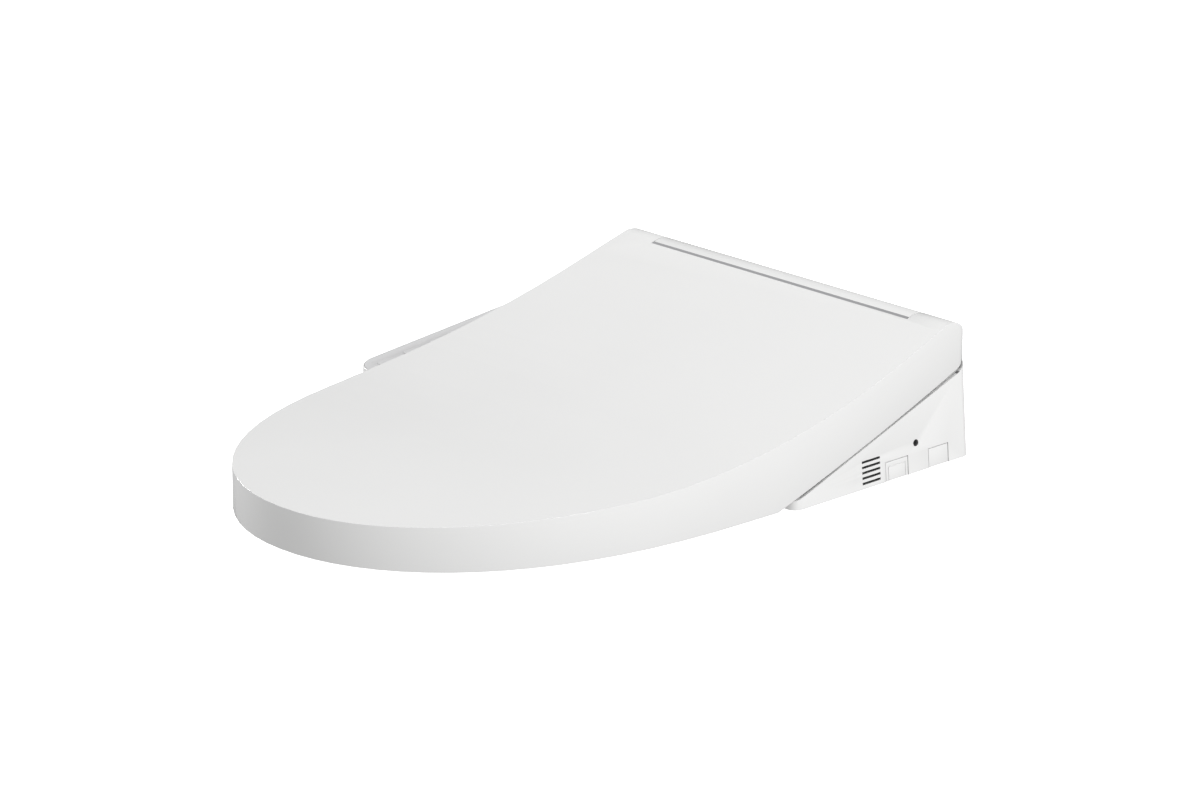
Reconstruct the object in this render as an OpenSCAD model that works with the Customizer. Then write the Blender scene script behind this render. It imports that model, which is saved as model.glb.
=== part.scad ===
// Electric bidet seat: wash unit, heated seat ring, lid and control arm.
// Millimetres. +Z up, +Y to the rear, +X to the right when facing the front.
// The origin is midway between the two mounting bolts, on the bowl's top face.

/* [Lid] */
// Half of the lid's greatest width
lid_half_w = 190; // [180:1:200]
// How far the nose lies in front of the bolts
nose_reach = 478; // [450:1:500]
// Height of the lid's top face at the nose
nose_top = 37; // [34:1:42]
// Height of the lid's lower rim above the bowl
lid_rim = 4; // [3:0.5:6]
// Wall of the lid
lid_wall = 3; // [2:0.5:4]
// Radius of the hollow sweep along the lid's top
sweep_r = 950; // [700:10:1200]
// Slope of the top face at the nose, in degrees
front_slope = 1.7; // [0.5:0.1:3]
// Slope of the top face at the rear, in degrees
rear_slope = 19; // [17:0.5:21]
// Slope of the seam between lid and wash unit, in degrees
seam_slope = 18.2; // [17:0.1:20]

/* [Hinge] */
// Distance of the hinge axis behind the bolts
axis_y = 41; // [35:1:48]
// Height of the hinge axis
axis_z = 89.5; // [85:0.5:100]
// Radius of the lid's round rear ears
ear_r = 20.5; // [19:0.5:22]
// Half length of the fixed hinge bar between the ears
bar_half = 143.4; // [135:0.1:148]
// Radius of the hinge shafts
shaft_r = 5; // [4:0.5:6]
// Running clearance of a shaft in its bore
run_gap = 0.06; // [0.02:0.01:0.1]
// Distance of each ring arm from the middle
arm_x = 110; // [95:1:120]

/* [Wash unit] */
// Front wall of the unit, in front of the bolts
unit_front = 95; // [88:1:100]
// Front tips of the unit's shoulders, in front of the bolts
tip_front = 136; // [125:1:145]
// Rear wall of the unit, behind the bolts
unit_rear = 61.4; // [60:0.2:66]
// Wall of the casings
case_wall = 2.5; // [2:0.1:3.5]
// Gap along the seam between lid and unit
seam_gap = 2.4; // [1.5:0.1:3.5]
// How far the unit's side face lies inside the lid's side, level with the bolts
side_inset = 2.6; // [0:0.2:6]
// Draft of the side face, in degrees
side_draft = 4.5; // [2:0.1:6]
// Height of the casing's lower edge above the bowl
skirt_z = 0.6; // [0.4:0.1:2]
// Height of the hump level with the bolts
hump_z = 49.7; // [46:0.1:51]
// Slope of the hump, in degrees
hump_slope = 12.4; // [11:0.1:14]

/* [Ring] */
// Gap between the lid's wall and the ring
ring_gap = 2.5; // [2:0.5:4]
// Wall of the ring's shells
ring_wall = 3; // [2:0.5:3.5]
// Height of the ring's underside
ring_under = 6; // [5:0.5:8]
// Height of the ring's top face at the nose
ring_top = 29.5; // [27:0.5:31]
// Half width of the opening
hole_half_w = 108; // [95:1:118]
// Half length of the opening
hole_half_l = 147; // [130:1:155]

/* [Control arm] */
// Width of the arm
arm_width = 47.5; // [40:0.5:60]
// Front end of the arm, in front of the bolts
arm_front = 207; // [185:1:225]
// Slope of the arm's top, in degrees
arm_slope = 6.1; // [4:0.1:8]
// Height of the arm's top level with the bolts
arm_top = 54.2; // [50:0.2:60]
// Size of a push button, along the arm
button_l = 17; // [12:1:20]

/* [Wands] */
// Radius of a wand's tube
wand_r = 7; // [6:0.1:7.5]
// Distance between the two wands
wand_pitch = 20; // [17:0.5:24]
// Length of a wand
wand_l = 132; // [126:1:134]
// Travel of a wand
wand_travel = 100; // [80:1:105]
// Slope of the wands, in degrees
wand_slope = 10; // [8:0.5:12]
// Height of a wand's middle at the front wall
wand_z = 16; // [15.6:0.1:16.2]
// Module of the rack and pinion
gear_m = 1; // [1:0.1:1.2]
// Teeth of a pinion
gear_n = 14; // [12:1:16]

/* [Bowl fixing] */
// Distance between the two mounting bolts
bolt_pitch = 140; // [130:1:155]
// Radius of the bolt holes
bolt_r = 4.25; // [3.5:0.25:6.5]
// Thickness of the mounting plate
plate_t = 4; // [3:0.5:5]

/* [Hidden] */
$fn = 64;

WHITE = [0.93, 0.93, 0.93];
SHELL = [0.9, 0.9, 0.9];
GREY = [0.83, 0.83, 0.83];
DARK = [0.2, 0.2, 0.21];
STEEL = [0.7, 0.71, 0.73];
GREEN = [0.12, 0.35, 0.2];
RUBBER = [0.5, 0.5, 0.52];

widest_y = -172;      // where the lid is widest
rear_taper = 9.8;     // how much narrower each side is at the hinge axis
nose_n = 2.55;        // roundness of the nose, along
nose_m = 2.05;        // roundness of the nose, across
corner_r = 10;        // plan radius of the rear corners
fit = 0.3;            // gap between parts that lie against each other
side_x = lid_half_w - side_inset; // the side face at the bowl, level with the bolts
back_x = side_x - 11.4; // half width of the rear cover, up to the rounded corners
bore_r = shaft_r + run_gap;
big = 800;

// ---- plan and side outlines ------------------------------------------------

// Half width of the lid's outline at y, behind its widest place
function half_at(y) = lid_half_w
  - rear_taper * pow(max(0, (y - widest_y) / (axis_y - widest_y)), 2.1);

// Right half of the lid's outline, inset by d, from the nose to y_end
function half_outline(d, y_end) = concat(
  [for (a = [90:-5:5]) [(lid_half_w - d) * pow(cos(a), 2 / nose_m),
    widest_y - (widest_y + nose_reach - d) * pow(sin(a), 2 / nose_n)]],
  [for (i = [0:9]) let (y = widest_y + (y_end - corner_r - widest_y) * i / 9)
    [half_at(y) - d, y]],
  [for (a = [15:15:90]) let (xc = half_at(y_end - corner_r) - d - corner_r)
    [xc + corner_r * cos(a), y_end - corner_r + corner_r * sin(a)]]);

function mirrored(pts) = concat(pts,
  [for (i = [len(pts) - 1:-1:0]) if (pts[i][0] > 0.001) [-pts[i][0], pts[i][1]]]);

// Side profile of a top face: straight at the nose, hollow sweep, straight at the rear,
// given by both lines as [angle, distance along its normal]; d lowers it
function sweep_centre(a1, o1, a2, o2, r) = [(o1 + r) * cos(a2) - (o2 + r) * cos(a1),
  (o1 + r) * sin(a2) - (o2 + r) * sin(a1)] / sin(a2 - a1);
function normal_off(a, p) = -sin(a) * p[0] + cos(a) * p[1];
function sweep(a1, o1, a2, o2, r, d, n = 12) = let (c = sweep_centre(a1, o1, a2, o2, r))
  [for (i = [0:n]) let (a = a1 + (a2 - a1) * i / n)
    [c[0] + (r + d) * sin(a), c[1] - (r + d) * cos(a)]];
function on_line(a, o, y) = (o + sin(a) * y) / cos(a);

axis = [axis_y, axis_z];
lid_o1 = normal_off(front_slope, [-nose_reach, nose_top]);
lid_o2 = normal_off(rear_slope, axis) + ear_r;
seam_o = normal_off(seam_slope, axis) - ear_r;
function lid_top(d) = sweep(front_slope, lid_o1, rear_slope, lid_o2, sweep_r, d);
// Height of the seam line, lowered by d
function seam_z(y, d = 0) = on_line(seam_slope, seam_o - d, y);
function ear_arc(r, from, to, n = 12) =
  [for (i = [0:n]) let (a = from + (to - from) * i / n) axis + r * [cos(a), sin(a)]];

lid_profile = concat([[-nose_reach - 5, lid_rim],
  [-nose_reach - 5, on_line(front_slope, lid_o1, -nose_reach - 5)]], lid_top(0),
  ear_arc(ear_r, 90 + rear_slope, seam_slope - 90, 24),
  [[(lid_rim * cos(seam_slope) - seam_o) / sin(seam_slope), lid_rim]]);
function lid_hollow(d) = concat([[-nose_reach - 5, -5],
  [-nose_reach - 5, on_line(front_slope, lid_o1 - d, -nose_reach - 5)]], lid_top(d),
  ear_arc(ear_r - d, 90 + rear_slope, -30, 14), [[axis_y + (ear_r - d) * cos(30), -5]]);
// Everything below the seam, lowered by d
function under_seam(d) = concat([[-tip_front - 20, -5],
  [-tip_front - 20, seam_z(-tip_front - 20, d)]],
  ear_arc(ear_r + d, seam_slope - 90, -12, 8),
  [[unit_rear + 5, axis_z - (ear_r + d) * sin(12)], [unit_rear + 5, -5]]);

// Ring: top face, and what lies under it
ring_a1 = 1.4;
ring_a2 = hump_slope;
ring_o1 = normal_off(ring_a1, [8 - nose_reach, ring_top]);
deck_t = 7;
deck_gap = 2.2;
function hump_top(y, d = 0) = on_line(hump_slope, normal_off(hump_slope, [0, hump_z]) - d, y);
ring_o2 = normal_off(hump_slope, [0, hump_z]) + deck_gap + deck_t;
function ring_height(y) = max(on_line(ring_a1, ring_o1, y), on_line(ring_a2, ring_o2, y));
tongue_half = 126;
tongue_rear = axis_y - ear_r - 2;
hump_half = bar_half + 0.1;
hole_y = -250;

// Extrudes a profile of [y, z] points along X, from x0 to x1
module across(x0, x1) translate([x0, 0, 0]) rotate([90, 0, 90]) linear_extrude(x1 - x0) children();
// Both sides, left and right
module both() { children(); mirror([1, 0, 0]) children(); }
// The right side face: x' outward, y' along it to the rear, z' up it
side_yaw = 1.4;
module on_side() translate([side_x, 0, 0]) rotate([0, 0, side_yaw]) rotate([0, -side_draft, 0])
  children();
module beyond_side(d) on_side() translate([-d, -big / 2, -big / 2]) cube([big, big, big]);
module rod_x(r, x0, x1) translate([x0, axis_y, axis_z]) rotate([0, 90, 0]) cylinder(r = r, h = x1 - x0);
module rounded(w, h, r) { // rounded rectangle from its lower left corner
  translate([r, 0]) square([w - 2 * r, h]);
  translate([0, r]) square([w, h - 2 * r]);
  for (x = [r, w - r], y = [r, h - r]) translate([x, y]) circle(r);
}
module block(from, to) translate(from) cube(to - from);

// ---- lid -------------------------------------------------------------------

notch_r = ear_r + 0.55; // the lid's notch clears the bar
notch_half = bar_half + 0.7;
rib_t = 3;
module lid_plan(d) linear_extrude(big) polygon(mirrored(half_outline(d, unit_rear + 0.1)));
module lid_block() intersection() {
  across(-big / 2, big / 2) polygon(lid_profile);
  lid_plan(0);
}
module lid_shell() color(WHITE) difference() {
  union() {
    difference() {
      lid_block();
      intersection() {
        across(-big / 2, big / 2) polygon(lid_hollow(lid_wall));
        translate([0, 0, -5]) lid_plan(lid_wall);
      }
    }
    // inner wall of each ear, with the boss that holds the shaft
    intersection() {
      lid_block();
      both() block([notch_half, axis_y - 22, 0], [notch_half + rib_t, unit_rear + 2, 200]);
    }
    both() rod_x(9.5, notch_half + rib_t, notch_half + rib_t + 9);
  }
  rod_x(notch_r, -notch_half, notch_half);
  block([-notch_half, axis_y - 6, 0], [notch_half, unit_rear + 5, 200]);
  both() rod_x(shaft_r, 100, notch_half + rib_t + 10);
}

bumper_r = 7;
lid_pads = [[118, -190], [92, 106 - nose_reach]];
module lid_bumpers() color(RUBBER) both() for (p = lid_pads) intersection() {
  translate([p[0], p[1], ring_height(p[1] + bumper_r) + fit]) cylinder(r = bumper_r, h = 60);
  across(0, 200) polygon(lid_hollow(lid_wall + 0.1));
}

shaft_in = 72; // inner end of each lid shaft
module lid_shafts() color(STEEL) both() rod_x(shaft_r, shaft_in, notch_half + rib_t + 9);

// ---- ring ------------------------------------------------------------------

module ring_plan(d) {
  difference() {
    polygon(mirrored(half_outline(lid_wall + ring_gap + d, 40)));
    translate([-big / 2, -24 - d]) square([big, 200]);
  }
  translate([-tongue_half + d, -60]) square([2 * (tongue_half - d), tongue_rear + 60 - d]);
}
// Oval opening, grown by d
module hole_plan(d) polygon([for (a = [0:6:354])
  [(hole_half_w + d) * sign(cos(a)) * pow(abs(cos(a)), 0.9),
   hole_y + (hole_half_l + d) * sign(sin(a)) * pow(abs(sin(a)), 0.9)]]);
// What the ring must stay above: bowl gap, shoulders and hump, each raised by d
module ramp(x, y0, z0, z1) across(-x, x) polygon([[y0, -50], [y0, z0], [60, z1], [60, -50]]);
module under_ring(d) {
  ramp(big / 2, -big, ring_under + d, ring_under + d);
  ramp(big / 2, -tip_front - 2, max(ring_under, seam_z(-tip_front - 2)) + d, seam_z(60) + d);
  ramp(hump_half + 2.5 + d, -unit_front - 2.5 - d, hump_top(-unit_front, -deck_gap - d),
    hump_top(60, -deck_gap - d));
  // raised channel over the wands and the warm air flap
  ramp(96, -178, hump_top(-178, -deck_gap - d), hump_top(60, -deck_gap - d));
}
module below_ring_top(d) across(-big / 2, big / 2) polygon(concat([[-big, -60],
  [-big, on_line(ring_a1, ring_o1 - d, -big)]], sweep(ring_a1, ring_o1, ring_a2, ring_o2, 600, d, 6),
  [[60, on_line(ring_a2, ring_o2 - d, 60)], [60, -60]]));
module ring_column(d) translate([0, 0, -40]) linear_extrude(200) difference() {
  ring_plan(d);
  hole_plan(d);
}
arm_w = 14;
arm_dir = 236; // direction of the arms from the axis, in degrees
module ring_upper() color(WHITE) difference() {
  intersection() { ring_column(0); below_ring_top(0); }
  under_ring(0);
  intersection() { ring_column(ring_wall); below_ring_top(ring_wall); }
}
lower_t = 2.4;
module ring_lower() color(SHELL) difference() {
  intersection() { ring_column(ring_wall + 0.1); below_ring_top(ring_wall + 0.1); under_ring(lower_t); }
  under_ring(0);
}
module ring_heater() color([0.8, 0.45, 0.2]) intersection() {
  difference() {
    below_ring_top(ring_wall + 0.1);
    below_ring_top(ring_wall + 0.9);
  }
  linear_extrude(100) difference() {
    ring_plan(22);
    hole_plan(20);
    translate([-8, -big]) square([16, big]);
    translate([-big / 2, -170]) square([big, big]);
  }
}
ring_pads = [[142, -185], [104, 86 - nose_reach]];
module ring_bumpers() color(RUBBER) both() for (p = ring_pads) translate([p[0], p[1], 0]) {
  cylinder(r = 9, h = ring_under - 0.1);
}
hub_r = 9;
module ring_arms() color(SHELL) difference() {
  union() {
    both() {
      rod_x(hub_r, arm_x - arm_w / 2, arm_x + arm_w / 2);
      intersection() {
        translate([arm_x - arm_w / 2, axis_y, axis_z]) rotate([arm_dir, 0, 0]) translate([0.5, 3, -3.6])
          cube([arm_w - 1, 43, 7.2]);
        block([0, tongue_rear + 0.2, 0], [200, 100, 200]);
      }
    }
    // sleeve that turns in the ring's damper
    mirror([1, 0, 0]) rod_x(8, shaft_in + 6, arm_x);
  }
  both() rod_x(bore_r, 60, 160);
  ramp(big / 2, -50, hump_top(-50, -deck_gap), hump_top(60, -deck_gap));
}

// ---- wash unit casings -------------------------------------------------------

module under_hump(d) across(-hump_half + d, hump_half - d) polygon([[-unit_front + d, -5],
  [-unit_front + d, hump_top(-unit_front + d, d)], [unit_rear - d, hump_top(unit_rear - d, d)],
  [unit_rear - d, -5]]);
shoulder_in = hump_half;
shoulder_y = -tip_front + case_wall + fit;
module shoulders(d) both() intersection() {
  across(shoulder_in + d, side_x + 5) polygon(under_seam(seam_gap + d));
  block([0, shoulder_y, -5], [300, unit_rear - d, 200]);
}
// Space of the side panels and their rear corners
post_y = 51.4; // centre of the rear corners, along the side
tip_round = 8; // plan radius of the front corners
module side_skin(d) on_side() {
  block([-case_wall - d, -tip_front - 5, -20], [50, 100, 200]);
  difference() {
    union() {
      block([-corner_r, post_y, -20], [50, 100, 200]);
      block([-tip_round, -tip_front - 5, -20], [50, -tip_front + tip_round, 200]);
    }
    translate([-corner_r, post_y, -30]) cylinder(r = corner_r - case_wall - d, h = 300);
    translate([-tip_round, -tip_front + tip_round, -30]) cylinder(r = tip_round - case_wall - d, h = 300);
  }
}
cover_low = 7.8; // the upper casing ends on the base pan
duct_x = [50, 84];
flap_axis = [-unit_front + 4, 22.6];
pin_r = 1.2;
module top_cover() color(WHITE) {
  difference() {
    union() {
      under_hump(0);
      shoulders(0);
    }
    under_hump(case_wall);
    shoulders(case_wall);
    // way through between the hump and the shoulders
    both() across(hump_half - 8, hump_half + 5) polygon([[-90, -5], [-90, 16], [60, 47], [60, -5]]);
    block([-big, -big, -50], [big, big, cover_low]);
    both() side_skin(fit);
    // ports for the wands with their racks, and for the warm air
    for (s = [-1, 1]) wand_place(s) {
      translate([0, -30, 0]) rotate([-90, 0, 0]) cylinder(r = wand_r + 0.8, h = 40);
      mirror([s < 0 ? 1 : 0, 0, 0]) block([0, -30, -2.6], [rack_off + 1.6, 10, 2.6]);
    }
    block([duct_x[0] - 1, -unit_front - 5, cover_low],
      [duct_x[1] + 1, -unit_front + 3, flap_axis[1] + 3.2]);
    // open at the rear, where the rear cover closes it
    block([-back_x, unit_rear - case_wall - fit, -5], [back_x, unit_rear + 5, 100]);
  }
  // lugs that hold the flap's pin
  for (x = [duct_x[0] - 4, duct_x[1] + 1.4]) difference() {
    block([x, -unit_front + case_wall - 0.1, 19.6], [x + 2.6, flap_axis[0] + 3, 26.4]);
    translate([x - 1, flap_axis[0], flap_axis[1]]) rotate([0, 90, 0]) cylinder(r = pin_r, h = 5);
  }
}

pan_z = 5;
pan_t = 2.5;
tunnel = [108, -34, 48, 15.5]; // half width, front, rear, top: room over the bolt heads
module unit_plan(d) difference() {
  translate([-side_x - 9, shoulder_y + d]) square([2 * side_x + 18, unit_rear - shoulder_y - 2 * d]);
  translate([-shoulder_in - d, -big]) square([2 * (shoulder_in + d), big - unit_front + d]);
}
drawer_y = [-35.8, -11.2]; // where the filter drawer lies, along the side
button_y = [12.6, 34.4]; // where the release button lies
module base_pan() color(SHELL) difference() {
  union() {
    translate([0, 0, pan_z]) linear_extrude(pan_t) unit_plan(0.2);
    block([-tunnel[0], tunnel[1], pan_z], [tunnel[0], tunnel[2], tunnel[3]]);
    translate([0, 0, skirt_z]) linear_extrude(pan_z - skirt_z) difference() {
      unit_plan(0.2);
      unit_plan(2.6);
    }
  }
  // the mounting plate slides in from the rear
  block([-tunnel[0] + pan_t, tunnel[1] + pan_t, -5], [tunnel[0] - pan_t, 100, tunnel[3] - pan_t]);
  both() side_skin(fit);
  block([134, drawer_y[0] - 1, -5], [side_x + 12, drawer_y[1] + 1, 30]);
  block([89.5, 18.5, 0], [112, 28.5, 40]);
  block([side_x - 9, button_y[0] - 1, -5], [side_x + 12, button_y[1] + 1, 30]);
  block([inlet_x - 21, axis_y - 1.4, -5], [inlet_x + 21, 100, 40]);
  block([-back_x, unit_rear - case_wall - fit, -5], [back_x, unit_rear + 5, 50]);
}

vent_y = [-62, -42];
vent_n = 5;
vent_pitch = 4.2;
vent_h = 1.8;
vent_z = 4.2;
screw_y = -1.5;
screw_z = 24;
button_top = 16;
module side_wall() difference() {
  on_side() {
    block([-case_wall, -tip_front + tip_round, skirt_z], [0, post_y, 90]);
    // rounded rear corner and front corner, with the front return
    intersection() {
      translate([-corner_r, post_y, skirt_z]) corner(corner_r);
      block([-corner_r, post_y, -5], [1, post_y + 20, 120]);
    }
    intersection() {
      translate([-tip_round, -tip_front + tip_round, skirt_z]) corner(tip_round);
      block([-tip_round, -tip_front - 1, -5], [1, -tip_front + tip_round, 120]);
    }
    block([shoulder_in - side_x - 1, -tip_front, skirt_z], [-tip_round, -tip_front + case_wall, 60]);
  }
  block([0, -big, -50], [big, big, skirt_z]);
  // cut along the seam
  difference() {
    block([0, -big, -50], [big, big, big]);
    across(-1, big + 1) polygon(under_seam(seam_gap));
  }
}
module corner(r) difference() {
  cylinder(r = r, h = 90);
  translate([0, 0, -1]) cylinder(r = r - case_wall, h = 92);
}
module side_panel_right() color(WHITE) difference() {
  side_wall();
  on_side() {
    for (i = [0:vent_n - 1]) translate([-10, vent_y[0], vent_z + i * vent_pitch])
      cube([15, vent_y[1] - vent_y[0], vent_h]);
    block([-10, drawer_y[0] - 0.4, -1], [5, drawer_y[1] + 0.4, button_top + 0.2]);
    block([-10, button_y[0] - 0.4, -1], [5, button_y[1] + 0.4, button_top + 0.2]);
    translate([-10, screw_y, screw_z]) rotate([0, 90, 0]) cylinder(r = 2.7, h = 20);
  }
}
module side_panel_left() color(WHITE) mirror([1, 0, 0]) side_wall();
inlet_x = -130;
inlet_z = 19;
gland_x = back_x - 28;
gland_z = 22;
gland_r = 7;
module rear_cover() color(WHITE) {
  rear_wall();
  // posts that carry the control board
  for (x = [-80, 82], z = [23, 48]) translate([x, board_y + 1.8, z]) rotate([-90, 0, 0])
    cylinder(r = 3, h = unit_rear - case_wall - board_y - 1.7);
}
module rear_wall() difference() {
  intersection() {
    block([-back_x + 0.4, unit_rear - case_wall, skirt_z], [back_x - 0.4, unit_rear, 90]);
    union() {
      across(-back_x, back_x) polygon([[0, 0], [0, 20], [100, 20], [100, 0]]);
      both() across(hump_half, back_x) polygon(under_seam(seam_gap));
      block([-hump_half, 0, 0], [hump_half, 100, hump_top(unit_rear - case_wall)]);
    }
  }
  both() on_side() block([-corner_r - 0.3, 0, -5], [60, 100, 120]);
  block([inlet_x - 20, 0, -1], [inlet_x + 20, 100, 38]);
  block([-tunnel[0] + pan_t, 0, -1], [tunnel[0] - pan_t, 100, tunnel[3] - pan_t]);
  translate([gland_x, 0, gland_z]) rotate([-90, 0, 0]) cylinder(r = gland_r, h = 100);
}

window_half = arm_w / 2 + 1.5;
bar_r = ear_r - 0.1;
module hinge_bar() color(WHITE) difference() {
  union() {
    rod_x(bar_r, -bar_half, bar_half);
    block([-bar_half, axis_y - bar_r, 0], [bar_half, axis_y + bar_r, axis_z]);
  }
  rod_x(bar_r - case_wall, -bar_half + case_wall, bar_half - case_wall);
  block([-bar_half + case_wall, axis_y - bar_r + case_wall, -1],
    [bar_half - case_wall, axis_y + bar_r - case_wall, axis_z]);
  // stands on the hump
  ramp(big / 2, -50, hump_top(-50, -0.1), hump_top(60, -0.1));
  block([-big, 59, 0], [big, 100, hump_top(60, -0.1)]);
  both() {
    rod_x(bore_r, 100, 160);
    block([arm_x - window_half, 0, 0], [arm_x + window_half, axis_y - 8, axis_z]);
    across(arm_x - window_half, arm_x + window_half)
      polygon([axis, axis + 40 * [cos(121), sin(121)], axis + [-60, 12], axis + [-60, 0]]);
  }
}
module damper(x0, x1, bore) difference() {
  union() {
    rod_x(13, x0, x1);
    block([x0 + 4, axis_y - 10, hump_top(axis_y + 10, -0.2)], [x1 - 4, axis_y + 10, axis_z - 6]);
  }
  rod_x(bore, x0 - 1, x1 + 1);
}
module lid_damper() color(DARK) damper(56, 96, bore_r);
module ring_damper() color(DARK) damper(-96, -56, 8 + run_gap);

// ---- bowl fixing -------------------------------------------------------------

slide_w = 22;
module mounting_plate() color(STEEL) difference() {
  block([-102, -26, 0], [102, 40, plate_t]);
  for (s = [-1, 1]) translate([s * bolt_pitch / 2, 0, 0])
    block([-slide_w / 2 - 0.2, -21, -1], [slide_w / 2 + 0.2, 35, 9]);
  // keyhole for the latch: the peg stands in it, and slides out when the button is pressed
  block([89.8, 19.7, -1], [98.8, 27.3, 9]);
  block([89.8, -30, -1], [94.8, 20, 9]);
}
module bolt_slides() color(DARK) for (s = [-1, 1]) translate([s * bolt_pitch / 2, 0, 0]) difference() {
  union() {
    block([-slide_w / 2, -18, 0], [slide_w / 2, 18, plate_t]);
    block([-slide_w / 2 - 3, -18, plate_t + 0.1], [slide_w / 2 + 3, 18, plate_t + 2]);
    block([-slide_w / 2, -18, plate_t], [slide_w / 2, 18, plate_t + 2]);
  }
  translate([0, 0, -1]) cylinder(r = bolt_r, h = 20);
}
feet_at = [[side_x - 27, -110], [side_x - 27, 40], [125, -50]];
module base_feet() color(RUBBER) both() for (p = feet_at) translate([p[0], p[1], 0])
  cylinder(r = 7, h = pan_z);

// ---- small pieces of the casing ------------------------------------------------

module side_screw() color(DARK) on_side() translate([-12, screw_y, screw_z]) rotate([0, 90, 0]) {
  difference() {
    cylinder(r = 2.4, h = 9.6);
    translate([0, 0, 8]) linear_extrude(3) {
      square([3, 0.7], center = true);
      square([0.7, 3], center = true);
    }
  }
}
screws_at = [[150, -120], [118, -80], [-118, -80], [-150, -120], [30, -84], [-30, -84]];
module casing_screws() color(STEEL) for (p = screws_at) translate([p[0], p[1], skirt_z]) {
  cylinder(r = 3.4, h = pan_z - skirt_z - 0.1);
}

face_t = 2.3;
module filter_drawer() color(WHITE) difference() {
  union() {
    on_side() block([-face_t, drawer_y[0], skirt_z + 0.2], [0, drawer_y[1], button_top - 0.2]);
    block([136, drawer_y[0] + 1.6, 8.2], [side_x - 2, drawer_y[1] - 1.6, 14.6]);
  }
  // the pocket that holds the carbon block
  block([138, drawer_y[0] + 3.4, 9.6], [side_x - 8, drawer_y[1] - 3.4, 20]);
  // groove around the grip
  on_side() difference() {
    block([-0.8, drawer_y[0] + 2.6, -1], [3, drawer_y[1] - 2.6, button_top - 3.6]);
    block([-2, drawer_y[0] + 3.2, -2], [4, drawer_y[1] - 3.2, button_top - 4.2]);
  }
}
module carbon_filter() color(DARK) difference() {
  block([138.2, drawer_y[0] + 3.6, 9.7], [side_x - 8.2, drawer_y[1] - 3.6, 14.4]);
  for (x = [142:4:174]) block([x, drawer_y[0] + 5, 12], [x + 2, drawer_y[1] - 5, 20]);
}
module release_button() color(WHITE) on_side()
  block([-face_t, button_y[0], skirt_z + 0.2], [0, button_y[1], button_top - 0.2]);
module release_latch() color(DARK) {
  block([94, 20, tunnel[3] + 0.4], [side_x - 5.6, 27, tunnel[3] + 4]);
  block([side_x - 11.4, 15, 8.4], [side_x - 4.7, 32, tunnel[3] + 0.5]);
  block([94.5, 20, 0.6], [98.5, 27, tunnel[3] + 0.5]);
}

// ---- air ---------------------------------------------------------------------

fan = [side_x - 26.6, -52, 8.2]; // centre of the deodorising fan
module impeller(r, h, blades, bore) difference() {
  union() {
    cylinder(r = r, h = 1.2);
    cylinder(r = bore + 2.5, h = h);
    for (i = [0:blades - 1]) rotate([0, 0, i * 360 / blades]) translate([r - 4, -0.5, 0.8])
      cube([3.6, 1, h - 0.8]);
  }
  translate([0, 0, -1]) cylinder(r = bore, h = h + 2);
}
module fan_housing() color(DARK) translate(fan) difference() {
  union() {
    cylinder(r = 15, h = 15);
    block([0, -12, 0], [21, 9, 15]);
  }
  translate([0, 0, 1.5]) cylinder(r = 13.2, h = 12);
  translate([0, 0, 10]) cylinder(r = 9, h = 10);
  block([4, -10.4, 1.5], [30, 7.4, 13.5]);
  translate([0, 0, -1]) cylinder(r = 6.4, h = 5);
}
module fan_impeller() color(GREY) translate([fan[0], fan[1], fan[2] + 5.4]) impeller(12, 7, 16, 1.56);
module fan_motor() color(STEEL) translate([fan[0], fan[1], fan[2] - 0.5]) {
  cylinder(r = 6.2, h = 5.4);
  cylinder(r = 1.5, h = 12.6);
}

blower = [67, 0, tunnel[3] + 0.2]; // centre of the drying blower
module blower_housing() color(DARK) translate(blower) difference() {
  union() {
    cylinder(r = 28, h = 21);
    block([duct_x[0] - blower[0], -38, 0], [duct_x[1] - blower[0], 0, 21]);
  }
  translate([0, 0, 1.6]) cylinder(r = 26, h = 17.8);
  block([duct_x[0] - blower[0] + 1.6, -50, 1.6], [duct_x[1] - blower[0] - 1.6, 0, 19.4]);
  translate([0, 0, 10]) cylinder(r = 15, h = 20);
  translate([0, 0, -1]) cylinder(r = 8.4, h = 5);
}
module blower_impeller() color(GREY) translate([blower[0], blower[1], blower[2] + 8.2])
  impeller(24, 10.4, 24, 2.06);
module blower_motor() color(STEEL) translate([blower[0], blower[1], blower[2]]) {
  cylinder(r = 8.2, h = 7.4);
  cylinder(r = 2, h = 18);
}
duct_end = -unit_front + 7.5;
module duct_form(d) {
  inner = d > 0 ? 5 : 0;
  across(duct_x[0] + d, duct_x[1] - d) polygon([[blower[1] - 38.2 + inner, blower[2] + d],
    [blower[1] - 38.2 + inner, blower[2] + 20.4 - d], [-70, 25 - d], [duct_end - inner, 23.6 - d],
    [duct_end - inner, 8.2 + d], [-70, 8.2 + d]]);
}
module dryer_duct() color(GREY) difference() { duct_form(0); duct_form(1.6); }
module dryer_heater() color([0.75, 0.4, 0.15]) {
  for (x = [duct_x[0] + 6:5:duct_x[1] - 6]) translate([x, -84, 10]) cube([0.8, 12, 12]);
  block([duct_x[0] + 1.8, -79, 15], [duct_x[1] - 1.8, -77, 16]);
}
module dryer_flap() color(WHITE) difference() {
  union() {
    block([duct_x[0] - 0.4, -unit_front + 0.2, cover_low + 0.4],
      [duct_x[1] + 0.4, -unit_front + 2.7, flap_axis[1] - 1]);
    translate([duct_x[0] - 0.4, flap_axis[0], flap_axis[1]]) rotate([0, 90, 0])
      cylinder(r = 2.3, h = duct_x[1] - duct_x[0] + 0.8);
  }
  translate([0, flap_axis[0], flap_axis[1]]) rotate([0, 90, 0]) cylinder(r = pin_r + run_gap, h = 200);
}
module flap_pin() color(STEEL) translate([duct_x[0] - 3.8, flap_axis[0], flap_axis[1]]) rotate([0, 90, 0])
  cylinder(r = pin_r, h = duct_x[1] - duct_x[0] + 7.6);

// ---- water -------------------------------------------------------------------

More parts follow.
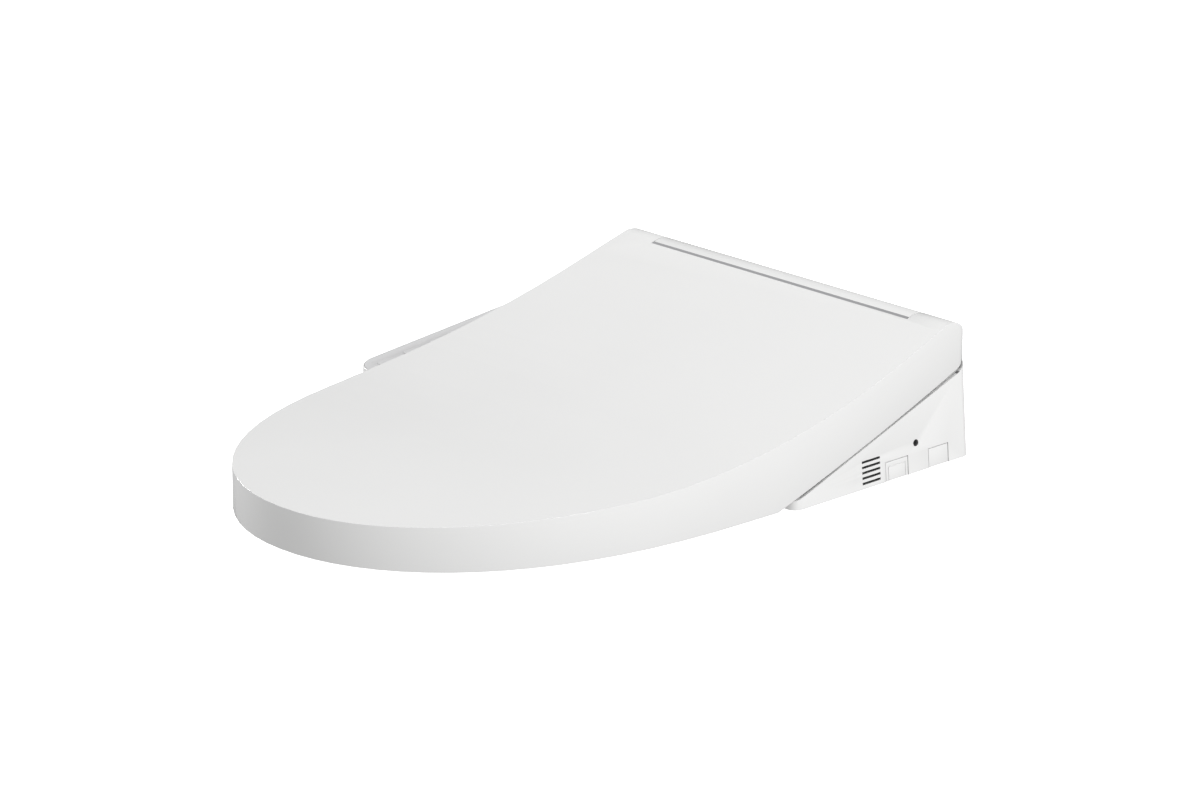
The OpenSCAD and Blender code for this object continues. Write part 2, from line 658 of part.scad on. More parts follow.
port_z = tunnel[3] + 3.7; // the hoses run above the raised tunnel
module port(l) rotate([-90, 0, 0]) difference() {
  cylinder(r = 3.6, h = l);
  translate([0, 0, -1]) cylinder(r = 2.4, h = l + 2);
}
tank = [-102, -90]; // front left corner of the tank
module heater_tank() color([0.85, 0.84, 0.8]) {
  translate([tank[0], tank[1], pan_z + pan_t + 0.2]) difference() {
    linear_extrude(17.5) rounded(64, 52, 5);
    translate([2, 2, 2]) linear_extrude(13.5) rounded(60, 48, 4);
    for (x = [8, 56]) translate([x, 45, port_z - pan_z - pan_t - 0.2]) rotate([-90, 0, 0])
      cylinder(r = 2.6, h = 20);
  }
  for (x = [8, 56]) translate([tank[0] + x, tank[1] + 51, port_z]) port(8);
}
spigot_r = 10.4;
module water_inlet() color(GREY) translate([inlet_x, 0, inlet_z]) rotate([-90, 0, 0]) difference() {
  union() {
    translate([0, 0, axis_y - 1]) cylinder(r = spigot_r, h = unit_rear - axis_y - 0.4);
    translate([-20, -18.6, axis_y - 1.2]) cube([40, 29.6, 3]);
    translate([0, 0, axis_y - 12]) cylinder(r = 9, h = 12);
  }
  translate([0, 0, axis_y - 20]) cylinder(r = 6.5, h = 60);
}
module solenoid_valve() color(DARK) translate([inlet_x, 0, 0]) {
  difference() {
    union() {
      block([-11, 0, 7.7], [11, axis_y - 12.2, 30]);
      translate([0, 13, 29]) cylinder(r = 9, h = 12);
    }
    translate([0, 10, inlet_z]) rotate([-90, 0, 0]) cylinder(r = 5, h = 60);
    translate([0, -1, port_z]) rotate([-90, 0, 0]) cylinder(r = 2.6, h = 8);
  }
  translate([0, -8, port_z]) port(8.2);
}
selector = [-46, -2];
module selector_valve() color(GREY) translate([selector[0], selector[1], tunnel[3] + 0.2]) {
  cylinder(r = 13, h = 14);
  for (a = [180, -60, -120]) rotate([0, 0, a]) translate([0, 12, 4]) port(8);
  translate([0, 0, 13.9]) cylinder(r = 9, h = 6);
}
// Hoses are straight runs and quarter bends
bend_r = 11.3;
module bend() rotate_extrude(angle = 90) translate([bend_r, 0]) difference() {
  circle(3.4);
  circle(2.2);
}
module hose(l) rotate([-90, 0, 0]) difference() {
  cylinder(r = 3.4, h = l);
  translate([0, 0, -1]) cylinder(r = 2.2, h = l + 2);
}
module water_hoses() color([0.75, 0.78, 0.82]) {
  // from the solenoid valve to the tank
  x1 = inlet_x + bend_r;
  x2 = tank[0] + 8 - bend_r;
  y1 = -8.2;
  y2 = y1 - 2 * bend_r;
  translate([x1, y1, port_z]) rotate([0, 0, 180]) bend();
  translate([x1, y1 - bend_r, port_z]) rotate([0, 0, -90]) hose(x2 - x1);
  translate([x2, y2, port_z]) bend();
  // from the tank to the selector valve
  translate([tank[0] + 56, tank[1] + 59.2, port_z]) hose(selector[1] - 20.2 - tank[1] - 59.2);
}

// ---- electrics -----------------------------------------------------------------

board_y = 50;
module control_board() color(GREEN) block([-90, board_y, 17], [92, board_y + 1.6, 54]);
module board_parts() color(DARK) translate([0, -0.1, 0]) {
  for (x = [-80, -58, -36, -14]) block([x, board_y - 12, 30], [x + 16, board_y, 44]);
  for (x = [30, 47, 64]) translate([x, board_y, 38]) rotate([90, 0, 0]) cylinder(r = 7, h = 14);
  block([30, board_y - 9, 19], [56, board_y, 28]);
}
module power_module() color(DARK) block([112, -30, 7.7], [132, 10, 34]);
module cord_gland() color(DARK) translate([gland_x, unit_rear - 10, gland_z]) rotate([-90, 0, 0])
  difference() {
  union() {
    cylinder(r = gland_r - 0.05, h = 10);
    cylinder(r = gland_r + 3, h = 7.2);
  }
  translate([0, 0, -1]) cylinder(r = 3.5, h = 30);
}

// ---- wands ----------------------------------------------------------------------

// Frame of a wand: y' backward along it, z' across its top, origin at the front wall
module wand_place(s) translate([s * wand_pitch / 2, -unit_front, wand_z]) rotate([wand_slope, 0, 0])
  children();
pitch_r = gear_m * gear_n / 2;
rack_off = wand_r + 2.4; // pitch line of the rack, from the wand's middle
backlash = 0.2;
pinion_at = 28; // place of the pinion along the wand
rack_from = pinion_at - 6;
function turn(p, a) = [p[0] * cos(a) - p[1] * sin(a), p[0] * sin(a) + p[1] * cos(a)];
function involute(r, t) = turn([r, -r * t], t * 180 / PI);
base_r = pitch_r * cos(20);
tooth_tip_r = pitch_r + 0.9 * gear_m;
root_r = pitch_r - 1.2 * gear_m;
roll = sqrt(pow(tooth_tip_r / base_r, 2) - 1);
half_tooth = 90 / gear_n - backlash / 4 / pitch_r * 180 / PI + (tan(20) * 180 / PI - 20);
flank = [for (i = [0:5]) turn(involute(base_r, roll * i / 5), -half_tooth)];
tooth = concat([turn([root_r, 0], -half_tooth)], flank,
  [for (i = [5:-1:0]) [flank[i][0], -flank[i][1]]], [turn([root_r, 0], half_tooth)]);
module pinion_plan() polygon([for (k = [0:gear_n - 1]) for (p = tooth) turn(p, k * 360 / gear_n)]);
pitch = PI * gear_m;
// Straight rack with its teeth towards +x and its pitch line at x = 0; a gap lies at the pinion
module rack_plan() {
  half = pitch / 4 - backlash / 4;
  for (k = [-2:floor((wand_l - pinion_at) / pitch) - 1]) translate([0, pinion_at + (k + 0.5) * pitch])
    polygon([[-1.3 * gear_m, -half - 1.3 * gear_m * tan(20)], [0.9 * gear_m, -half + 0.9 * gear_m * tan(20)],
      [0.9 * gear_m, half - 0.9 * gear_m * tan(20)], [-1.3 * gear_m, half + 1.3 * gear_m * tan(20)]]);
}
module to_side(s) mirror([s < 0 ? 1 : 0, 0, 0]) children();
module tube_y(r, y0, y1) translate([0, y0, 0]) rotate([-90, 0, 0]) cylinder(r = r, h = y1 - y0);
module wand(s) color([0.8, 0.82, 0.84]) wand_place(s) {
  difference() {
    tube_y(wand_r, 6.6, wand_l);
    tube_y(3, 6, wand_l + 1);
  }
  // the rack stands on the wand's outer side
  to_side(s) translate([rack_off, 0, -2]) linear_extrude(4) {
    rack_plan();
    translate([2 - rack_off + 3.5, rack_from]) square([rack_off - 5.5 - 1.2 * gear_m, wand_l - rack_from]);
  }
}
module wand_tip(s, holes) color(WHITE) wand_place(s) difference() {
  tube_y(wand_r, 0.4, 6.4);
  for (k = [0:holes - 1]) translate([(k - (holes - 1) / 2) * 3, 3.4, 0]) cylinder(r = 0.9, h = 20);
}
module rear_wand() wand(1);
module rear_wand_tip() wand_tip(1, 3);
module front_wand() wand(-1);
module front_wand_tip() wand_tip(-1, 2);
motor_r = 8.6;
motor_shaft_r = 1.5;
module at_pinion(s) wand_place(s) to_side(s) translate([rack_off + pitch_r, pinion_at, 0]) children();
module pinion(s) color(WHITE) at_pinion(s) difference() {
  translate([0, 0, -2.4]) linear_extrude(4.8) pinion_plan();
  translate([0, 0, -5]) cylinder(r = motor_shaft_r + run_gap, h = 10);
}
module rear_pinion() pinion(1);
module front_pinion() pinion(-1);
module wand_motors() color(STEEL) for (s = [-1, 1]) at_pinion(s) {
  translate([0, 0, -3]) cylinder(r = motor_shaft_r, h = 7);
  translate([0, 0, 3.2]) cylinder(r = motor_r, h = 7);
}
module wand_cradle() color(SHELL) difference() {
  union() {
    for (s = [-1, 1]) wand_place(s) {
      block([-10, 3.2, -9.2], [9.2, wand_l - 4, -2.4]);
      block([-9.2, 3.2, -9.2], [10, wand_l - 4, -2.4]);
      // clip over the wand, with the seat of the motor
      to_side(s) block([-10, 37.2, 4], [24, 42, 9.2]);
    }
    // web between the wands, leg under the rear end
    wand_place(1) block([-wand_pitch / 2 - 2, 37.2, -9], [-wand_pitch / 2 + 2, 42, 9.2]);
    block([-14, 8, tunnel[3] + 0.2], [14, 14, 26.5]);
  }
  for (s = [-1, 1]) wand_place(s) tube_y(wand_r + run_gap, 0, 200);
  block([-60, -unit_front, 0], [60, -30, pan_z + pan_t + 0.2]);
}

// ---- control arm ------------------------------------------------------------------

arm_in = lid_half_w + 2.5;
arm_out = arm_in + arm_width;
arm_mid = (arm_out + arm_in) / 2;
arm_rear = 45;
// Frame of the arm's top: z' square to the panel, y' along it
module on_arm() translate([-arm_mid, 0, arm_top]) rotate([arm_slope, 0, 0]) children();
module arm_plan(d) translate([-arm_out + d, -arm_front + d]) {
  r = 20 - d;
  w = arm_out - arm_in - 2 * d;
  l = arm_rear + arm_front - 2 * d;
  translate([0, r]) square([w, l - r - 9]);
  translate([r, 0]) square([w - 2 * r, l - 9]);
  translate([9, l - 10]) square([w - 18, 10]);
  for (x = [r, w - r]) translate([x, r]) circle(r);
  for (x = [9, w - 9]) translate([x, l - 9]) circle(9);
}
module arm_column(d, z) intersection() {
  translate([0, 0, -5]) linear_extrude(120) arm_plan(d);
  on_arm() block([-60, -400, -90], [60, 100, z]);
}
button_at = [-186, -158, -130, -102, -66]; // places of the buttons along the arm
panel_t = 2;
button_w = 22;
module arm_shell() color(WHITE) difference() {
  union() {
    arm_column(0, 0);
    // root that joins the arm to the unit's side
    intersection() {
      block([-arm_in - 1, -60, 3], [-170, 40, 20]);
      mirror([1, 0, 0]) on_side() block([0.2, -300, -100], [100, 300, 200]);
    }
  }
  block([-big, -big, -50], [0, big, 2]);
  arm_column(case_wall, -panel_t - 0.1 - case_wall);
  intersection() {
    arm_column(1.2, 5);
    on_arm() block([-60, -400, -panel_t - 0.1], [60, 100, 5]);
  }
  on_arm() block([-13.5, button_at[0] - 12, -20], [13.5, button_at[4] + 12, 1]);
}
module button_plan(d) translate([-button_w / 2 - d, -button_l / 2 - d])
  rounded(button_w + 2 * d, button_l + 2 * d, 3 + d);
module arm_panel() color(GREY) difference() {
  intersection() {
    arm_column(1.2 + 0.2, 0);
    on_arm() block([-60, -400, -panel_t], [60, 100, 5]);
  }
  on_arm() for (y = button_at) translate([0, y, -9]) linear_extrude(18) button_plan(fit);
}
module button(k) color(GREY) on_arm() translate([0, button_at[k], 0]) {
  translate([0, 0, -panel_t - 0.9]) linear_extrude(panel_t + 1.5) button_plan(0);
  translate([0, 0, -panel_t - 1.9]) linear_extrude(1.2) button_plan(1.2);
}
module stop_button() button(0);
module rear_wash_button() button(1);
module front_wash_button() button(2);
module dryer_button() button(3);
module power_button() button(4);
module arm_board() color(GREEN) on_arm() {
  block([-17, button_at[0] - 7, -9], [17, button_at[4] + 16, -7.4]);
  for (y = button_at) translate([-3, y - 3, -7.5]) cube([6, 6, 2.1]);
  // spacers under the shell
  for (x = [-15.4, 15.4], y = [button_at[0] - 4, button_at[4] + 13]) translate([x, y, -7.5])
    cylinder(r = 1.4, h = 2.8);
}

lid_shell();
lid_bumpers();
lid_shafts();
ring_upper();
ring_lower();
ring_heater();
ring_bumpers();
ring_arms();
top_cover();
base_pan();
side_panel_right();
side_panel_left();
rear_cover();
hinge_bar();
lid_damper();
ring_damper();
mounting_plate();
bolt_slides();
base_feet();
side_screw();
casing_screws();
filter_drawer();
carbon_filter();
release_button();
release_latch();
fan_housing();
fan_impeller();
fan_motor();
blower_housing();
blower_impeller();
blower_motor();
dryer_duct();
dryer_heater();
dryer_flap();
flap_pin();
heater_tank();
water_inlet();
solenoid_valve();
selector_valve();
water_hoses();
control_board();
board_parts();
power_module();
cord_gland();
wand_cradle();
rear_wand();
rear_wand_tip();
front_wand();
front_wand_tip();
rear_pinion();
front_pinion();
wand_motors();
arm_shell();
arm_panel();
stop_button();
rear_wash_button();
front_wash_button();
dryer_button();
power_button();
arm_board();
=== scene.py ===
# Electric bidet seat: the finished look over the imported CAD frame.
# All lengths are in metres. +X right, +Y rear, +Z up, from the bowl's top face between the bolts.
import bpy
import bmesh
import math
from mathutils import Matrix, Vector


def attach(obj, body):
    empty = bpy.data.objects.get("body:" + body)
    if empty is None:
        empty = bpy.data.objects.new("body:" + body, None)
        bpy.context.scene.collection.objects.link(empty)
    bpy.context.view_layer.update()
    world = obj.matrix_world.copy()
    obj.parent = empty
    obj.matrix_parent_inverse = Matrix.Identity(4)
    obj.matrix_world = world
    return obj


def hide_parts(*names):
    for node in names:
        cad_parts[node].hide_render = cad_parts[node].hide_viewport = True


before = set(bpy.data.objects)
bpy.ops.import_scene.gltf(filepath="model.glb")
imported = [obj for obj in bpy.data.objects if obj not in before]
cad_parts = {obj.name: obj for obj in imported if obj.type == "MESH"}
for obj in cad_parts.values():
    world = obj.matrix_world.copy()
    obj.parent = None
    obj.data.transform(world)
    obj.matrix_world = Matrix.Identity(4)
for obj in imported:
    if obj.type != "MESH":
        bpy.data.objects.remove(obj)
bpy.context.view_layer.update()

# --- Camera and studio -----------------------------------------------------------------
# A long lens a few metres off, a lit white table that is only seen, a grey-white room that lights
# the unit evenly, and soft boxes overhead, at the right and, weaker, at the left.
camera = bpy.data.objects.new("camera", bpy.data.cameras.new("camera"))
camera.data.sensor_width = 36
camera.data.lens = 151.62
camera.data.clip_end = 30
camera.location = (2.7230, -2.67416, 1.24546)
aim = Vector((0.03825, -0.195, 0.06585)) - camera.location
camera.rotation_mode = "QUATERNION"
camera.rotation_quaternion = aim.to_track_quat("-Z", "Y")
bpy.context.collection.objects.link(camera)
bpy.context.scene.camera = camera
bpy.context.scene.view_settings.view_transform = "Standard"

world = bpy.data.worlds.new("studio")
world.use_nodes = True
world.node_tree.nodes["Background"].inputs["Color"].default_value = (1, 1, 1, 1)
world.node_tree.nodes["Background"].inputs["Strength"].default_value = 0.545
bpy.context.scene.world = world

for name, place, size, power in (
        ("soft_box_top", (0.1, -0.1, 2.6), 1.0, 16),
        ("soft_box_right", (2.8, -0.3, 0.9), 1.2, 40),
        ("soft_box_left", (-2.4, -0.4, 0.8), 0.8, 28)):
    lamp = bpy.data.objects.new(name, bpy.data.lights.new(name, "AREA"))
    lamp.data.shape = "DISK"
    lamp.data.size = size
    lamp.data.energy = power
    lamp.location = place
    lamp.rotation_mode = "QUATERNION"
    lamp.rotation_quaternion = (Vector((0, -0.2, 0)) - lamp.location).to_track_quat("-Z", "Y")
    bpy.context.collection.objects.link(lamp)

sweep = bmesh.new()
bmesh.ops.create_grid(sweep, x_segments=1, y_segments=1, size=9)
bmesh.ops.translate(sweep, vec=(0, 0, -0.0006), verts=sweep.verts)
floor_mesh = bpy.data.meshes.new("floor")
sweep.to_mesh(floor_mesh)
floor = bpy.data.objects.new("floor", floor_mesh)
bpy.context.collection.objects.link(floor)
floor.visible_diffuse = False
floor.visible_glossy = False
paper = bpy.data.materials.new("white_paper")
paper.use_nodes = True
paper.node_tree.nodes["Principled BSDF"].inputs["Base Color"].default_value = (0.9, 0.9, 0.9, 1)
paper.node_tree.nodes["Principled BSDF"].inputs["Roughness"].default_value = 1
paper.node_tree.nodes["Principled BSDF"].inputs["Specular IOR Level"].default_value = 0
paper.node_tree.nodes["Principled BSDF"].inputs["Emission Color"].default_value = (1, 1, 1, 1)
paper.node_tree.nodes["Principled BSDF"].inputs["Emission Strength"].default_value = 1.1
floor.data.materials.append(paper)

# --- Lid -----------------------------------------------------------------------------------
# One injection moulding in glossy white ABS, with a soft radius all round the top, a crisp lower
# rim, and rubber buffers and steel hinge shafts pressed into it.


def finish_of(name, colour, roughness, grain, depth, spread=0.03, metal=0.0, coat=0.0):
    """A finish: the colour drifts a little over the piece, and a fine grain is in its bump and gloss."""
    made = bpy.data.materials.new(name)
    made.use_nodes = True
    tree = made.node_tree
    shader = tree.nodes["Principled BSDF"]
    shader.inputs["Metallic"].default_value = metal
    shader.inputs["Coat Weight"].default_value = coat
    shader.inputs["Coat Roughness"].default_value = 0.05
    place = tree.nodes.new("ShaderNodeTexCoord")
    drift = tree.nodes.new("ShaderNodeTexNoise")
    drift.inputs["Scale"].default_value = 9
    drift.inputs["Detail"].default_value = 3
    tree.links.new(place.outputs["Object"], drift.inputs["Vector"])
    tint = tree.nodes.new("ShaderNodeValToRGB")
    tint.color_ramp.elements[0].position = 0.3
    tint.color_ramp.elements[0].color = (*[c * (1 - spread) for c in colour], 1)
    tint.color_ramp.elements[1].position = 0.7
    tint.color_ramp.elements[1].color = (*colour, 1)
    tree.links.new(drift.outputs["Fac"], tint.inputs["Fac"])
    tree.links.new(tint.outputs["Color"], shader.inputs["Base Color"])
    fine = tree.nodes.new("ShaderNodeTexNoise")
    fine.inputs["Scale"].default_value = grain
    fine.inputs["Detail"].default_value = 4
    tree.links.new(place.outputs["Object"], fine.inputs["Vector"])
    gloss = tree.nodes.new("ShaderNodeMapRange")
    gloss.inputs["To Min"].default_value = roughness * 0.9
    gloss.inputs["To Max"].default_value = roughness * 1.12
    tree.links.new(fine.outputs["Fac"], gloss.inputs["Value"])
    tree.links.new(gloss.outputs["Result"], shader.inputs["Roughness"])
    bump = tree.nodes.new("ShaderNodeBump")
    bump.inputs["Strength"].default_value = 0.25
    bump.inputs["Distance"].default_value = depth
    tree.links.new(fine.outputs["Fac"], bump.inputs["Height"])
    tree.links.new(bump.outputs["Normal"], shader.inputs["Normal"])
    return made


SMOOTH_BELOW = math.radians(32)
# Thickness of the dark sheets that are painted shade.
PAINTED_SHADE_THICK = 0.00006


def solid_of(node):
    """The CAD solid's surface as one joined mesh, with its flat faces whole."""
    shape = bmesh.new()
    shape.from_mesh(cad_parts[node].data)
    bmesh.ops.remove_doubles(shape, verts=shape.verts, dist=2e-6)
    bmesh.ops.dissolve_limit(shape, angle_limit=math.radians(0.3), verts=shape.verts, edges=shape.edges)
    return shape


def round_edges(shape, radius, chosen=lambda edge: True, segments=3, least=40):
    """Rounds the sharp outer edges that are chosen."""
    sharp = [e for e in shape.edges if len(e.link_faces) == 2 and e.is_convex
             and e.calc_face_angle(0) > math.radians(least) and chosen(e)]
    if sharp:
        bmesh.ops.bevel(shape, geom=sharp, offset=radius, offset_type="OFFSET", affect="EDGES",
                        segments=segments, profile=0.5, clamp_overlap=True, material=-1)


def piece_of(shape, name, body, material, stands_for=()):
    """Makes a bmesh a finished piece of that body."""
    for face in shape.faces:
        face.smooth = True
    for edge in shape.edges:
        edge.smooth = len(edge.link_faces) == 2 and edge.calc_face_angle(0) < SMOOTH_BELOW
    mesh = bpy.data.meshes.new(name)
    shape.to_mesh(mesh)
    shape.free()
    mesh.materials.append(material)
    piece = bpy.data.objects.new(name, mesh)
    bpy.context.collection.objects.link(piece)
    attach(piece, body)
    if stands_for:
        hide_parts(*stands_for)
    return piece


def paint_shade_on(shape, chosen, name, body, material):
    """Painted shade: a thin dark sheet over the chosen faces of a moulding, as a piece of its own,
    standing in for the shade there.
    """
    shade_sheet = shape.copy()
    bmesh.ops.delete(shade_sheet, geom=[f for f in shade_sheet.faces if not chosen(f)], context="FACES")
    bmesh.ops.triangulate(shade_sheet, faces=shade_sheet.faces)
    bmesh.ops.solidify(shade_sheet, geom=shade_sheet.faces, thickness=-PAINTED_SHADE_THICK)
    bmesh.ops.recalc_face_normals(shade_sheet, faces=shade_sheet.faces)
    return piece_of(shade_sheet, name, body, material)


def dress(nodes, material):
    """Gives CAD nodes their finish."""
    for node in nodes:
        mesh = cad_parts[node].data
        mesh.materials.clear()
        mesh.materials.append(material)


gloss_white = finish_of("gloss_white", (0.86, 0.86, 0.855), 0.17, 900, 0.00001, 0.012, coat=0.8)
rubber = finish_of("grey_rubber", (0.33, 0.33, 0.34), 0.75, 1400, 0.00008)
# The dark grey of the sheets that are painted shade in the seams, the openings and along the lid's rim;
# not a real rubber part.
painted_shade = finish_of("painted_shade_grey", (0.16, 0.16, 0.162), 0.7, 1400, 0.00005)
steel = finish_of("turned_steel", (0.6, 0.61, 0.63), 0.28, 2200, 0.00003, metal=1.0)

lid = solid_of("lid_shell")


def at_top(edge):
    """The lid's outer top edge, and the edges round its ears."""
    middle = (edge.verts[0].co + edge.verts[1].co) / 2
    normals = [face.normal for face in edge.link_faces]
    side = min(abs(n.z) for n in normals) < 0.25 and max(abs(n.x) + abs(n.y) for n in normals) > 0.9
    inside = abs(middle.x) < 0.16 and middle.y > 0.02
    return side and not inside and max(n.z for n in normals) > 0.5


def shaded_rim_faces(face):
    """The outward half of the lid's rounded lower rim, which gets a dark sheet as painted shade along
    the lid's bottom edge.
    """
    from_middle = face.calc_center_median().xy - Vector((0, -0.2))
    return -0.9 < face.normal.z < -0.15 and face.normal.xy.dot(from_middle) > 0.03


round_edges(lid, 0.0034, at_top, 5)
round_edges(lid, 0.0006, segments=2)
# Painted shade: a dark sheet under the lid's lower rim draws the shaded line along its bottom edge.
paint_shade_on(lid, shaded_rim_faces, "lid_rim_painted_shade", "lid", painted_shade)
piece_of(lid, "lid_moulding", "lid", gloss_white, ["lid_shell"])
dress(["lid_bumpers"], rubber)
dress(["lid_shafts"], steel)

# --- Ring ----------------------------------------------------------------------------------
# The heated ring is two white mouldings welded together over a foil element, on four rubber
# buffers, with two arms that run up to the lid's shafts.
satin_white = finish_of("satin_white", (0.8, 0.8, 0.795), 0.42, 1100, 0.00004, 0.02)
foil = finish_of("heating_foil", (0.62, 0.4, 0.22), 0.35, 600, 0.00005, metal=0.9)
ring = solid_of("ring_upper")
round_edges(ring, 0.004, lambda e: max(f.normal.z for f in e.link_faces) > 0.85, 5, 55)
round_edges(ring, 0.0006, segments=2)
piece_of(ring, "ring_top", "ring", gloss_white, ["ring_upper"])
under = solid_of("ring_lower")
round_edges(under, 0.0005, segments=2)
piece_of(under, "ring_underside", "ring", satin_white, ["ring_lower"])
arms = solid_of("ring_arms")
round_edges(arms, 0.0006, segments=2)
piece_of(arms, "ring_hinge_arms", "ring", satin_white, ["ring_arms"])
dress(["ring_heater"], foil)
buffers = solid_of("ring_bumpers")
round_edges(buffers, 0.0015, segments=3)
piece_of(buffers, "ring_buffers", "ring", rubber, ["ring_bumpers"])

# --- Casings of the wash unit ----------------------------------------------------------------
# White ABS mouldings that clip and screw together: the hump, the two side panels, the rear cover,
# the bar between the lid's ears, and the base pan under them. Thin dark sheets over their seams,
# the bar's front edge and the side openings are painted shade.
def by_opening(edge):
    """The edges of the slots, the screw hole and the two covers' openings in the right panel."""
    middle = (edge.verts[0].co + edge.verts[1].co) / 2
    return -0.064 < middle.y < 0.045 and 0.003 < middle.z < 0.028 and middle.x > 0.17


def opening_shade_faces(face):
    """The walls of those openings, which get a dark sheet as painted shade."""
    middle = face.calc_center_median()
    return (-0.0635 < middle.y < 0.045 and 0.0008 < middle.z < 0.028 and abs(face.normal.x) < 0.7
            and face.normal.z > -0.8)


def on_seam(edge):
    """The upper outer edge of a side panel, along the lid's seam."""
    return (max(f.normal.z for f in edge.link_faces) > 0.35
            and max(abs(f.normal.x) for f in edge.link_faces) > 0.8
            and (edge.verts[0].co.z + edge.verts[1].co.z) / 2 > 0.028
            and abs(edge.verts[0].co.x) > 0.18)


def seam_shade_faces(face):
    """The rounded top of a side panel, as far back as its rear corner, which gets a dark sheet as
    painted shade for the lid's seam.
    """
    middle = face.calc_center_median()
    return face.normal.z > 0.35 and middle.z > 0.024 and middle.y < 0.05


def bar_shade_faces(face):
    """The rounding of the bar's front upper edge, which gets a dark sheet as painted shade for the gap
    to the lid.
    """
    return -0.97 < face.normal.y < -0.4 and face.normal.z > 0.2


for node, radius, material, slot in (
        ("top_cover", 0.0012, gloss_white, "white_gloss"),
        ("side_panel_right", 0.0007, gloss_white, "white_gloss"),
        ("side_panel_left", 0.0007, gloss_white, "white_gloss"),
        ("rear_cover", 0.0006, gloss_white, "white_gloss"),
        ("hinge_bar", 0.0005, gloss_white, "white_gloss"),
        ("base_pan", 0.0005, satin_white, "white_satin")):
    casing = solid_of(node)
    if node == "side_panel_right":
        round_edges(casing, 0.00018, by_opening, segments=2)
    if node.startswith("side_panel"):
        round_edges(casing, 0.0012, on_seam, segments=4)
    round_edges(casing, radius, segments=3)
    if node == "side_panel_right":
        # Painted shade: dark sheets on the walls of the slots, the screw hole and the covers' openings.
        paint_shade_on(casing, opening_shade_faces, "opening_painted_shade", "main_unit", painted_shade)
    if node.startswith("side_panel"):
        # Painted shade: a dark sheet on the panel's rounded top darkens the seam under the lid.
        paint_shade_on(casing, seam_shade_faces, node.replace("panel", "seam_painted_shade"), "main_unit", painted_shade)
    if node == "hinge_bar":
        # Painted shade: a dark grey sheet on the bar's front rounding darkens the gap to the lid.
        paint_shade_on(casing, bar_shade_faces, "bar_painted_shade", "main_unit", rubber)
    piece_of(casing, node + "_moulding", "main_unit", material, [node])

# --- Side covers ----------------------------------------------------------------------------
# Two small covers in the right side: the filter drawer, with a groove round its grip, and the
# release button. A black screen lies behind the slots, and a screw deep in its hole.
dark = finish_of("dark_plastic", (0.035, 0.035, 0.037), 0.5, 900, 0.00005)
carbon = finish_of("carbon_block", (0.02, 0.02, 0.02), 0.9, 500, 0.0004)
for node in ("filter_drawer", "release_button"):
    cover = solid_of(node)
    round_edges(cover, 0.0004, segments=2)
    piece_of(cover, node + "_cover", node, gloss_white, [node])
screen = bmesh.new()
bmesh.ops.create_cube(screen, size=1)
bmesh.ops.scale(screen, vec=(0.0006, 0.0225, 0.0215), verts=screen.verts)
bmesh.ops.translate(screen, vec=(-0.0032, -0.052, 0.0135), verts=screen.verts)
lean = Matrix.Rotation(math.radians(1.4), 4, "Z") @ Matrix.Rotation(math.radians(-4.5), 4, "Y")
bmesh.ops.transform(screen, matrix=Matrix.Translation((0.1874, 0, 0)) @ lean, verts=screen.verts)
piece_of(screen, "vent_screen", "main_unit", dark)
dress(["carbon_filter"], carbon)
dress(["release_latch", "side_screw"], dark)

# --- Dampers, plate and feet -------------------------------------------------------------------
# Two rotary dampers under the bar slow the lid and the ring. The unit stands on rubber feet, and
# a steel plate with two sliding bolt holders fixes it to the bowl.
dress(["lid_damper", "ring_damper", "bolt_slides"], dark)
plate = solid_of("mounting_plate")
round_edges(plate, 0.0004, segments=2)
piece_of(plate, "bowl_plate", "main_unit", steel, ["mounting_plate"])
feet = solid_of("base_feet")
round_edges(feet, 0.001, segments=2)
piece_of(feet, "feet", "main_unit", rubber, ["base_feet"])
dress(["casing_screws"], steel)

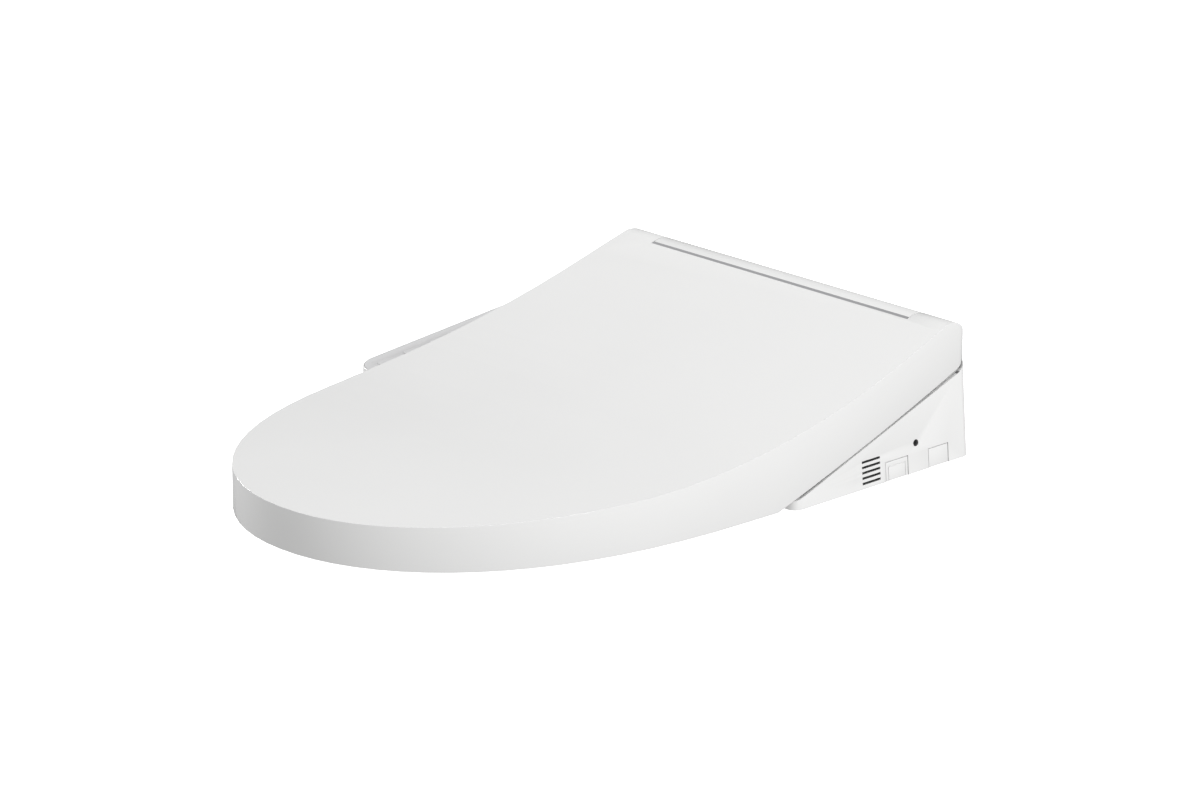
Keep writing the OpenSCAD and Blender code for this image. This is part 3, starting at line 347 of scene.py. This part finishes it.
# --- Wands ------------------------------------------------------------------------------------
# Two stainless tubes slide in a moulded cradle, each driven by its own motor through a pinion
# and the rack on its outer side. Their white nozzle tips lie behind the front wall.
wand_steel = finish_of("polished_steel", (0.68, 0.69, 0.71), 0.16, 1800, 0.00001, metal=1.0)
dress(["rear_wand", "front_wand"], wand_steel)
dress(["rear_wand_tip", "front_wand_tip"], gloss_white)
dress(["rear_pinion", "front_pinion", "wand_cradle"], satin_white)
dress(["wand_motors"], steel)

# --- Warm air and deodoriser -------------------------------------------------------------------
# A blower feeds the dryer's duct, heater strips and flap; a small fan draws air through the
# carbon block and out of the slots in the side.
panel_grey = finish_of("panel_grey", (0.66, 0.66, 0.665), 0.38, 1200, 0.00004, 0.02)
dress(["blower_housing", "fan_housing"], dark)
dress(["blower_impeller", "fan_impeller", "dryer_duct"], panel_grey)
dress(["blower_motor", "fan_motor", "flap_pin"], steel)
dress(["dryer_heater"], foil)
flap = solid_of("dryer_flap")
round_edges(flap, 0.0005, segments=2)
piece_of(flap, "air_flap", "dryer_flap", gloss_white, ["dryer_flap"])

# --- Water and electrics --------------------------------------------------------------------------
# The brass inlet at the rear leads through the solenoid valve to the heater tank and the valve
# that serves the wands. The boards and the power module sit behind them.
brass = finish_of("machined_brass", (0.62, 0.46, 0.2), 0.3, 1500, 0.00003, metal=1.0)
hose = finish_of("silicone_hose", (0.6, 0.63, 0.66), 0.5, 700, 0.00003)
board = finish_of("circuit_board", (0.03, 0.16, 0.07), 0.45, 300, 0.00006, 0.2)
dress(["water_inlet"], brass)
dress(["heater_tank"], satin_white)
dress(["solenoid_valve", "power_module", "board_parts", "cord_gland"], dark)
dress(["selector_valve"], panel_grey)
dress(["water_hoses"], hose)
dress(["control_board", "arm_board"], board)

# --- Control arm --------------------------------------------------------------------------------
# A hollow white moulding at the user's side, with a light grey panel let into its sloping top and
# five plain push buttons in the panel.
shell = solid_of("arm_shell")
round_edges(shell, 0.0009, segments=3)
piece_of(shell, "arm_moulding", "main_unit", gloss_white, ["arm_shell"])
face = solid_of("arm_panel")
round_edges(face, 0.0004, segments=2)
piece_of(face, "arm_face", "main_unit", panel_grey, ["arm_panel"])
for name in ("stop", "rear_wash", "front_wash", "dryer", "power"):
    key = solid_of(name + "_button")
    round_edges(key, 0.0007, segments=3)
    piece_of(key, name + "_key", name + "_button", panel_grey, [name + "_button"])
